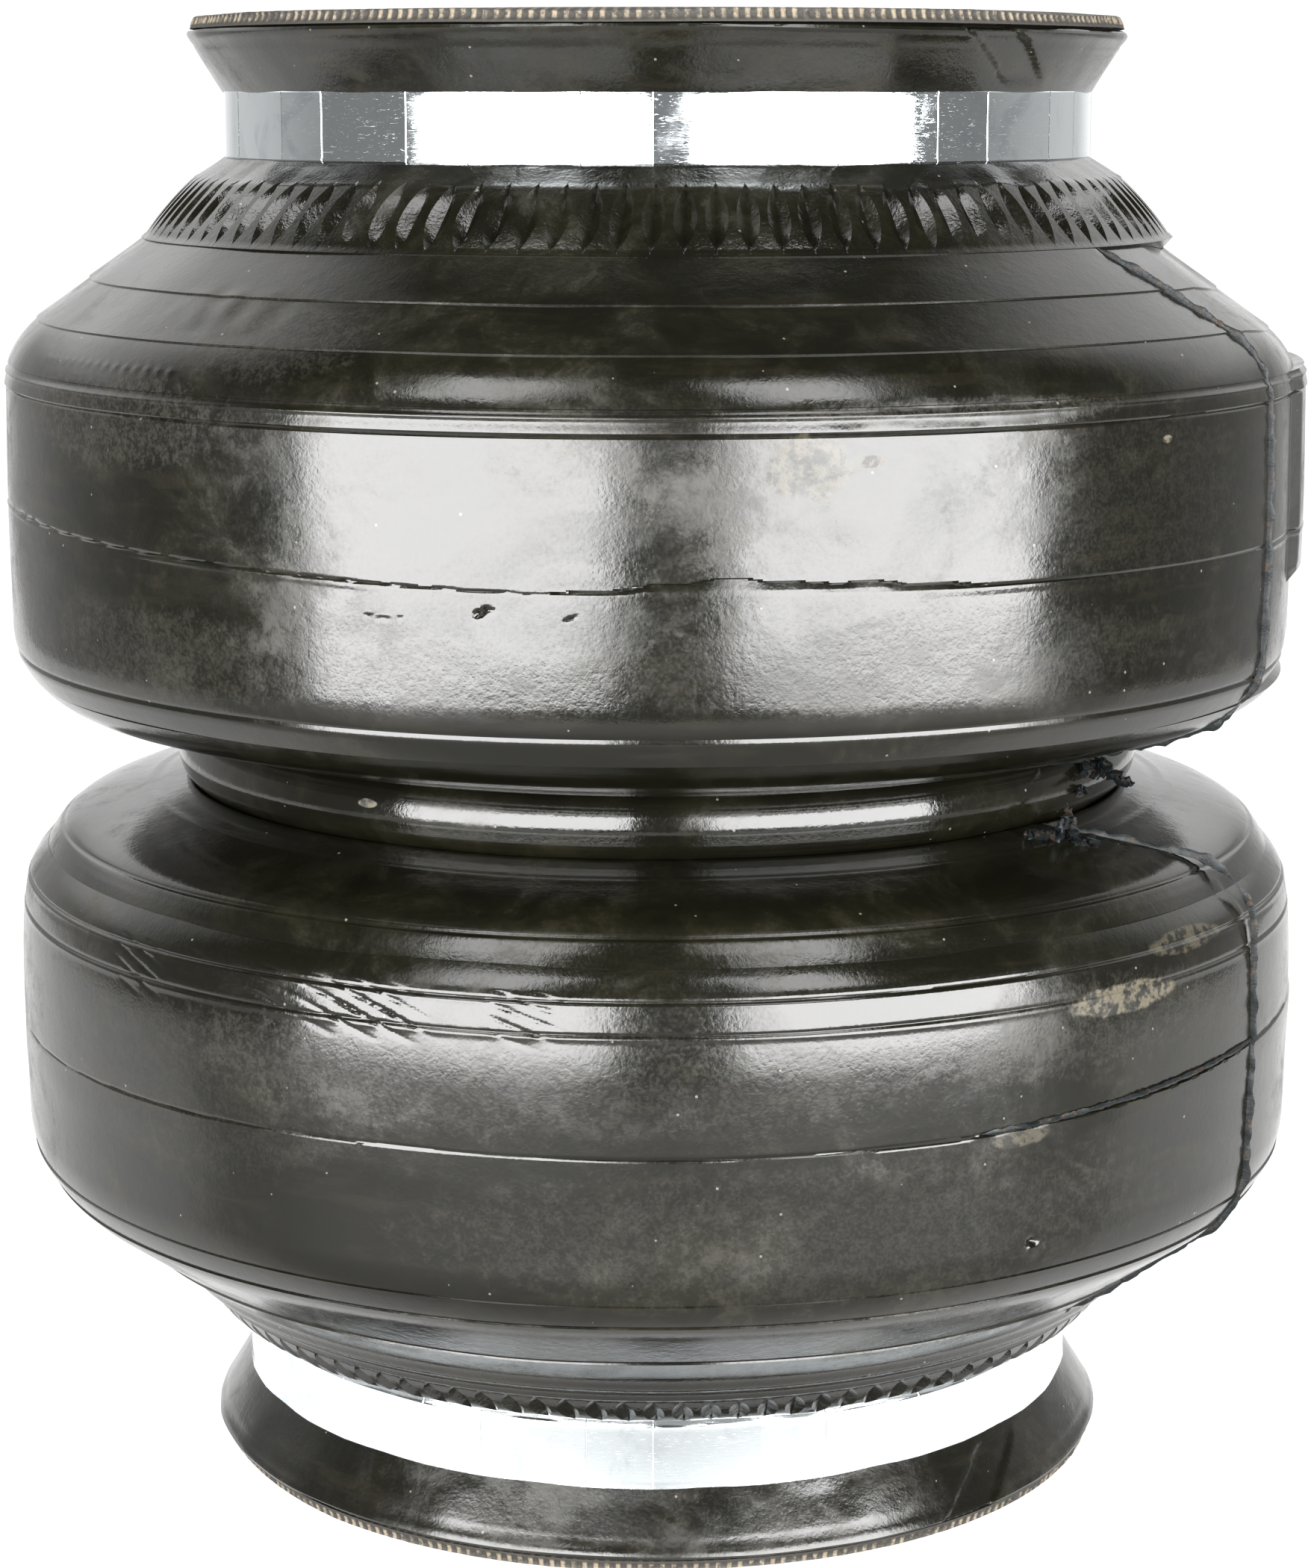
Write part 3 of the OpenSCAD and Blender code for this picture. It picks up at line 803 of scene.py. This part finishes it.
def rubber(name, dusty, gloss, patches=(), tan=(), coarse=1.0):
    """Worn moulded rubber: mottled by handling, dusty in places, with light specks."""
    s = Shade(name)
    broad = s.noise(34, 3, 0.6, (1, 1, 1.5), (0.03, 0.01, 0.02), 0.4)
    middle = s.noise(9, 5, 0.65, (1, 1, 1.3), (0.1, 0.2, 0.3), 0.6)
    fine = s.noise(1.4, 3, 0.7)
    grain = s.noise(0.42, 2, 0.6)
    smear = s.noise(16, 4, 0.6, (1, 1, 7), (0.2, 0.1, 0.5))
    worn = s.span(s.math("MULTIPLY_ADD", middle, 0.55, s.math("MULTIPLY", broad, 0.5)), 0.47, 0.66)
    dirty = s.math("MULTIPLY", s.span(s.math("MULTIPLY_ADD", fine, 0.35, s.math("MULTIPLY", middle, 0.65)),
                                      0.5, 0.68), s.span(broad, 0.4, 0.62))
    streak = s.math("MULTIPLY", s.span(smear, 0.52, 0.7), 0.6)
    colour = s.mix(s.math("MULTIPLY", worn, 0.8), BLACK, OLIVE)
    colour = s.mix(s.math("MULTIPLY", dirty, 0.75 * dusty), colour, BROWN)
    colour = s.mix(s.math("MULTIPLY", streak, 0.5 * dusty), colour, BROWN)
    rough = s.span(worn, 0, 1, 0.24 - 0.12 * gloss, 0.34 - 0.15 * gloss)
    cloud = s.noise(22, 5, 0.7, (1, 1, 1.2), (0.5, 0.1, 0.7), 1.0)
    rough = s.math("MULTIPLY_ADD", s.span(cloud, 0.46, 0.66), 0.11 * dusty, rough)
    rough = s.math("MULTIPLY_ADD", dirty, 0.12, rough)
    rough = s.math("MULTIPLY_ADD", s.span(grain, 0.35, 0.7), 0.05, rough)
    for az, height, half_az, half_height, strength in patches:
        cover = s.math("MULTIPLY", s.patch(az, height, half_az, half_height, fine), strength)
        blend = s.math("MULTIPLY_ADD", grain, 0.5, s.math("MULTIPLY", fine, 0.5))
        speckled = s.math("MULTIPLY", cover, s.span(blend, 0.42, 0.6))
        colour = s.mix(speckled, colour, DUST)
        rough = s.math("MULTIPLY_ADD", cover, 0.12, rough)
    for az, height, half_az, half_height, strength in tan:
        cover = s.math("MULTIPLY", s.patch(az, height, half_az, half_height, middle, 0.25), strength)
        colour = s.mix(s.math("MULTIPLY", cover, s.span(fine, 0.42, 0.58)), colour, TAN)
        rough = s.math("MULTIPLY_ADD", cover, 0.3, rough)
    cell = s.nodes.new("ShaderNodeTexVoronoi")
    s.set(cell, "Scale", 1 / (2.3 * MM))
    s.links.new(s.place, cell.inputs["Vector"])
    pick = s.add("SeparateColor", 0, {0: cell.outputs["Color"]})
    dot = s.span(cell.outputs["Distance"], 0.085, 0.055)
    speck = s.math("MULTIPLY", dot, s.math("GREATER_THAN", pick, 0.80))
    colour = s.mix(s.math("MULTIPLY", speck, 0.8), colour, (0.11, 0.10, 0.085))
    dents = s.noise(7, 2, 0.5, (1, 1, 1), (0.4, 0.4, 0.4))
    s.bump((dents, 0.10, 0.4), (fine, 0.05 * coarse, 0.45), (grain, 0.022 * coarse, 0.5))
    return s.finish(colour, rough)


def bright_metal():
    """Bright plated band: faint brushing round it, scratches and finger marks."""
    s = Shade("bright_band", metallic=1.0)
    brushed = s.noise(5, 3, 0.6, (1, 1, 45))
    cloudy = s.noise(7, 4, 0.6, (1, 1, 1), (0.3, 0.1, 0.2), 0.8)
    scratch = s.noise(1.6, 2, 0.5, (1, 1, 9), (0.1, 0.5, 0.2), 2.0)
    mark = s.span(cloudy, 0.5, 0.72)
    colour = s.mix(mark, (0.84, 0.89, 0.91), (0.66, 0.71, 0.74))
    rough = s.math("MULTIPLY_ADD", mark, 0.10, s.span(brushed, 0.3, 0.7, 0.03, 0.07))
    rough = s.math("MULTIPLY_ADD", s.span(scratch, 0.62, 0.7), 0.25, rough)
    s.bump((brushed, 0.01, 0.35), (scratch, 0.012, 0.3), (s.noise(11, 2), 0.12, 0.35))
    return s.finish(colour, rough)


def cord_ends():
    """Rubbered cord plies cut at the rim: dark, with pale fibre ends between."""
    s = Shade("cord_plies", roughness=0.75)
    a, h = s.around()
    height = s.math("ABSOLUTE", h)
    tip = s.span(height, COVER_END + 0.75, COVER_END + 1.15)
    fibre = s.noise(0.5, 3, 0.7)
    stray = s.noise(3.5, 3, 0.6)
    frayed = s.math("MULTIPLY_ADD", stray, 0.6, s.math("MULTIPLY", fibre, 0.4))
    pale = s.math("MULTIPLY", tip, s.span(frayed, 0.40, 0.55))
    wave = s.math("COSINE", s.math("MULTIPLY_ADD", a, CORDS * math.pi / 180, math.pi))
    pale = s.math("MULTIPLY", pale, s.span(wave, -0.1, 0.7))
    colour = s.mix(s.noise(6, 4, 0.6), (0.010, 0.009, 0.007), (0.024, 0.021, 0.016))
    colour = s.mix(s.math("MULTIPLY", pale, 0.9), colour, (0.16, 0.13, 0.09))
    s.bump((fibre, 0.12, 0.7), (s.noise(0.2, 2), 0.04, 0.5))
    return s.finish(colour)


def moulded_nylon():
    """Glass-filled nylon: satin black with flow marks."""
    s = Shade("cap_nylon")
    flow = s.noise(14, 4, 0.6, (1, 1, 1), (0, 0, 0), 0.6)
    fine = s.noise(0.7, 3, 0.6)
    colour = s.mix(s.span(flow, 0.35, 0.7), (0.014, 0.014, 0.015), (0.019, 0.019, 0.020))
    s.bump((fine, 0.05, 0.5), (flow, 0.1, 0.3))
    return s.finish(colour, s.span(flow, 0.3, 0.7, 0.40, 0.46))


def turned_brass():
    s = Shade("insert_brass", metallic=1.0)
    stain = s.noise(2.4, 4, 0.6)
    colour = s.mix(s.span(stain, 0.4, 0.7), (0.76, 0.55, 0.24), (0.48, 0.33, 0.15))
    s.bump((s.noise(0.6, 2, 0.5, (1, 1, 6)), 0.02, 0.5))
    return s.finish(colour, s.span(stain, 0.35, 0.7, 0.22, 0.42))


def hoop_wire():
    s = Shade("hoop_steel", metallic=1.0)
    scale = s.noise(3, 4, 0.6)
    colour = s.mix(s.span(scale, 0.4, 0.7), (0.42, 0.41, 0.40), (0.22, 0.17, 0.13))
    s.bump((s.noise(0.8, 3), 0.04, 0.6))
    return s.finish(colour, s.span(scale, 0.35, 0.7, 0.32, 0.6))


def torn_rubber():
    """Thin torn flash: cleaner and a little bluer than the skin, brown where it broke."""
    s = Shade("torn_rubber")
    broken = s.noise(1.1, 4, 0.7)
    colour = s.mix(s.span(broken, 0.54, 0.68), (0.0045, 0.0060, 0.0065), (0.030, 0.018, 0.010))
    s.bump((broken, 0.15, 0.8))
    s.shader.inputs["Specular IOR Level"].default_value = 0.2
    return s.finish(colour, s.span(broken, 0.35, 0.7, 0.34, 0.5))


CROWN_UPPER = rubber(
    "rubber_crown_upper", 0.8, 1.0,
    patches=[(-50, 46, 14, 5, 0.8), (-42, 20, 16, 5, 0.45), (12, 41, 12, 6, 0.4), (42, 38, 12, 9, 0.25),
             (-33, 55.5, 8, 4, 0.5), (20, 22, 26, 5, 0.3), (24, 48.6, 14, 1.5, 0.8), (-44, 58, 8, 2.5, 0.5)],
    tan=[(11.2, 43.5, 3.2, 3.6, 0.35), (16.2, 43.7, 1.0, 0.7, 0.6), (44.0, 44.2, 0.6, 0.45, 0.9)])
CROWN_LOWER = rubber(
    "rubber_crown_lower", 0.8, 1.1,
    patches=[(-10, -24, 30, 6, 0.4), (14, -42, 30, 8, 0.35), (36, -22, 16, 5, 0.55), (-40, -30, 16, 9, 0.25)],
    tan=[(41, -19.5, 5.5, 1.7, 0.8), (50, -15, 5, 1.3, 0.35), (30, -33, 3, 1.3, 0.35)])
NECK = rubber("rubber_neck", 0.35, 1.0, coarse=2.2)
FLANK = rubber("rubber_flank", 0.5, 1.1)
RIM = rubber("rubber_rim", 1.0, 0.8, coarse=1.3)
RING = rubber("rubber_waist", 0.25, 1.35, tan=[(-33, 1.2, 1.3, 0.5, 0.8)])
PLY = cord_ends()
METAL = bright_metal()
NYLON = moulded_nylon()
BRASS = turned_brass()
STEEL = hoop_wire()
TORN = torn_rubber()


# ---------------------------------------------------------------- the pieces
def dress(obj, mat):
    obj.data.materials.clear()
    obj.data.materials.append(mat)
    return obj


def level(z, upper):
    return (0, 0, (HALF + (z if upper else -z)) * MM)


def on_end(obj, upper):
    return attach(obj, f"{half_name(upper)}_end")


def on_stroke(obj):
    """A piece between the end and the flank, over the convolution's height: its placement is baked into its
    mesh.
    """
    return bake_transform(obj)


def on_tilt(obj):
    """A piece between the flank and the girdle: its placement is baked into its mesh."""
    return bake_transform(obj)


for upper in (True, False):
    name = half_name(upper)
    obj = dress(crown(upper), CROWN_UPPER if upper else CROWN_LOWER)
    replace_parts(on_stroke(obj), f"{name}_crown_cover", f"{name}_crown_carcass")
    obj = dress(fluted_neck(upper), NECK)
    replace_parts(on_stroke(obj), f"{name}_neck_cover")
    obj = dress(rim(upper), RIM)
    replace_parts(on_end(obj, upper), f"{name}_neck_cover")
    obj = dress(rim_plies(upper), PLY)
    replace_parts(on_end(obj, upper), f"{name}_neck_carcass")
    obj = dress(flank(upper), FLANK)
    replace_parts(on_tilt(obj), f"{name}_flank_cover", f"{name}_flank_carcass")
    obj = dress(band(upper), METAL)
    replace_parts(on_end(obj, upper), f"{name}_band")

    # the vertical seam's torn flash, one piece for each zone it crosses
    path = resample(np.vstack([fillet(4, 0, MOULD_AT, 1), fillet(5)]), 0.55)
    path = path[path[:, 1] < FLUTE_FOOT[1] + 0.8]
    obj = fin(f"{name}_neck_seam", path, seam_az(path[:, 0]), upper, 0.35, 0.5, 101 + upper)
    on_stroke(dress(obj, TORN))
    path = resample(crown_line(), 0.55)
    obj = fin(f"{name}_crown_seam", path, seam_az(path[:, 0]), upper, 0.36, 0.7, 103 + upper, 0.7)
    on_stroke(dress(obj, TORN))
    path = resample(np.vstack([[LIP + [0.4, 0.1]], fillet(1, 0, 0, MOULD_AT)]), 0.5)
    obj = fin(f"{name}_flank_seam", path, seam_az(path[:, 0]), upper, 0.4, 0.8, 105 + upper, 0.8)
    on_tilt(dress(obj, TORN))

# flash along the lower mould's parting line, right of the front
az = np.linspace(26, 62, 90)
path = np.column_stack([np.full(90, WALL_R + 0.33), 32.2 - 0.055 * (az - 25)])
obj = fin("lower_parting_flash", path, az, False, 0.3, 0.85, 111, 0.95)
on_stroke(dress(obj, TORN))

obj = dress(waist_ring(), RING)
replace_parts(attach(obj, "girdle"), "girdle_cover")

# torn wads where the seam crosses the waist
WADS = [("waist_wad", "girdle", 57, 62.4, (-1.4, 1.2), 5, 0.9, 121),
        ("flank_wad", "flank", 47.5, 66.2, (-6.6, -4.6), 12, 1.3, 131)]
for name, where, az, r, (z_lo, z_hi), count, spread, seed in WADS:
    rng = np.random.default_rng(seed)
    for k in range(count):
        at = az + rng.normal(0, spread)
        rr = r + rng.uniform(-1.2, 1.0)
        zz = rng.uniform(z_lo, z_hi)
        start = cylinder_points(np.array([at]), np.array([rr]), np.array([zz]), True)[0]
        walk = [start]
        step = rng.normal(0, 1, 3)
        for _ in range(4):
            step = 0.6 * step + rng.normal(0, 0.7, 3)
            walk.append(walk[-1] + step * 0.9)
        obj = strand(f"{name}_{k + 1}", walk, rng.uniform(0.3, 0.75), seed + k, 0.3)
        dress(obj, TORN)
        if where == "girdle":
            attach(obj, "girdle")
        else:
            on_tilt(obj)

for upper in (True, False):
    for side, x in (("left", -INSERT_X), ("right", INSERT_X)):
        name = f"{half_name(upper)}_insert_{side}"
        obj = threaded_insert(name + "_threaded", upper, x, INSERT_R, 3.97, INSERT_LEN, 12.0, 1.5875, False)
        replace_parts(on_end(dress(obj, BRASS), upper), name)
obj = threaded_insert("air_port_threaded", True, 0, PORT_R, 5.55, PORT_LEN, PORT_LEN, 1.411, True)
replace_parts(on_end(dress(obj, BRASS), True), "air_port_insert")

FINISHES = {"girdle_hoop": STEEL, "girdle_carcass": PLY, "lower_cap": NYLON, "upper_cap": NYLON}
for node, mat in FINISHES.items():
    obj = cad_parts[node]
    obj.data.materials.clear()
    obj.data.materials.append(mat)

# ---------------------------------------------------------------- stage, light and camera
def soft_box(name, azimuth, elevation, distance, width, height, radiance):
    """A soft box aimed at the object's middle from azimuth degrees right of the front."""
    a, e = math.radians(azimuth), math.radians(elevation)
    back = Vector((math.sin(a) * math.cos(e), -math.cos(a) * math.cos(e), math.sin(e)))
    lamp = bpy.data.lights.new(name, "AREA")
    lamp.shape = "RECTANGLE"
    lamp.size, lamp.size_y = width, height
    lamp.energy = radiance * math.pi * width * height
    obj = bpy.data.objects.new(name, lamp)
    bpy.context.scene.collection.objects.link(obj)
    obj.location = Vector((0, 0, HALF * MM)) + back * distance
    obj.rotation_euler = back.to_track_quat("Z", "Y").to_euler()


soft_box("softbox_left", -32, 7, 0.62, 0.60, 0.38, 18.5)
soft_box("softbox_right", 37, 7, 0.62, 0.60, 0.38, 18.5)
soft_box("high_left", -36, 52, 1.1, 0.34, 0.42, 8)
soft_box("high_right", 31, 52, 1.1, 0.34, 0.42, 8)

s = Shade("floor", roughness=0.7)
mottle = s.noise(60, 2)
s.finish(s.mix(mottle, (0.20, 0.20, 0.198), (0.23, 0.23, 0.228)))
# Painted light: the floor glows, faintly in front of the part and brightly from just before it to the back,
# so it lights the part from below and shows in its reflections
s.shader.inputs["Emission Color"].default_value = (1, 1, 1, 1)
depth = s.add("SeparateXYZ", 1, {0: s.place})
s.set(s.shader, "Emission Strength", s.span(depth, -0.095, -0.05, 0.06, 0.93))
me = bpy.data.meshes.new("floor")
me.from_pydata([(-0.45, -0.36, 0), (0.45, -0.36, 0), (0.45, 2.2, 0), (-0.45, 2.2, 0)], [], [(0, 1, 2, 3)])
floor = bpy.data.objects.new("floor", me)
bpy.context.scene.collection.objects.link(floor)
floor.location.z = -0.0002
me.materials.append(s.material)
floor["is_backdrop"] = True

world = bpy.data.worlds.new("studio")
bpy.context.scene.world = world
world.use_nodes = True
tree = world.node_tree


def world_node(kind, **inputs):
    node = tree.nodes.new("ShaderNode" + kind)
    for key, value in inputs.items():
        key = key.replace("_", " ")
        if isinstance(value, bpy.types.NodeSocket):
            tree.links.new(value, node.inputs[key])
        else:
            node.inputs[key].default_value = value
    return node.outputs[0]


def world_math(operation, a, b):
    node = tree.nodes.new("ShaderNodeMath")
    node.operation = operation
    for k, value in enumerate((a, b)):
        if isinstance(value, bpy.types.NodeSocket):
            tree.links.new(value, node.inputs[k])
        else:
            node.inputs[k].default_value = value
    return node.outputs[0]


def world_span(value, lo, hi, to_lo, to_hi):
    return world_node("MapRange", Value=value, From_Min=lo, From_Max=hi, To_Min=to_lo, To_Max=to_hi)


axes = tree.nodes.new("ShaderNodeSeparateXYZ")
tree.links.new(tree.nodes.new("ShaderNodeTexCoord").outputs["Generated"], axes.inputs[0])
toward_back, upward = axes.outputs["Y"], axes.outputs["Z"]
sides = world_span(toward_back, 0.0, 0.7, 0.22, 0.6)
room = world_math("ADD", sides, world_span(toward_back, 0.86, 0.95, 0.0, 0.5))
room = world_math("MULTIPLY", room, world_span(upward, 0.3, 0.7, 1.0, 0.15))
high = world_math("MULTIPLY", world_span(upward, 0.2, 0.4, 0.0, 1.0), world_span(upward, 0.7, 0.86, 1.0, 0.0))
wall = world_math("MULTIPLY", world_span(toward_back, 0.15, 0.5, 0.0, 1.3), high)
tree.links.new(world_math("ADD", room, wall), tree.nodes["Background"].inputs["Strength"])
tree.nodes["Background"].inputs["Color"].default_value = (1, 1, 1, 1)

# The camera stands in front of the part, in band radii from its middle, and looks down at it
CAMERA_AWAY = 8.3
CAMERA_UP = 1.5077
CAMERA_DOWN = 11.116
FOCAL_LENGTH = 80.92

lens = bpy.data.cameras.new("camera")
lens.sensor_width = 36
lens.lens = FOCAL_LENGTH
camera = bpy.data.objects.new("camera", lens)
bpy.context.scene.collection.objects.link(camera)
camera.location = (0, -CAMERA_AWAY * BAND_R * MM, (HALF + CAMERA_UP * BAND_R) * MM)
camera.rotation_euler = (math.radians(90 - CAMERA_DOWN), 0, 0)
bpy.context.scene.camera = camera
bpy.context.scene.view_settings.view_transform = "Standard"

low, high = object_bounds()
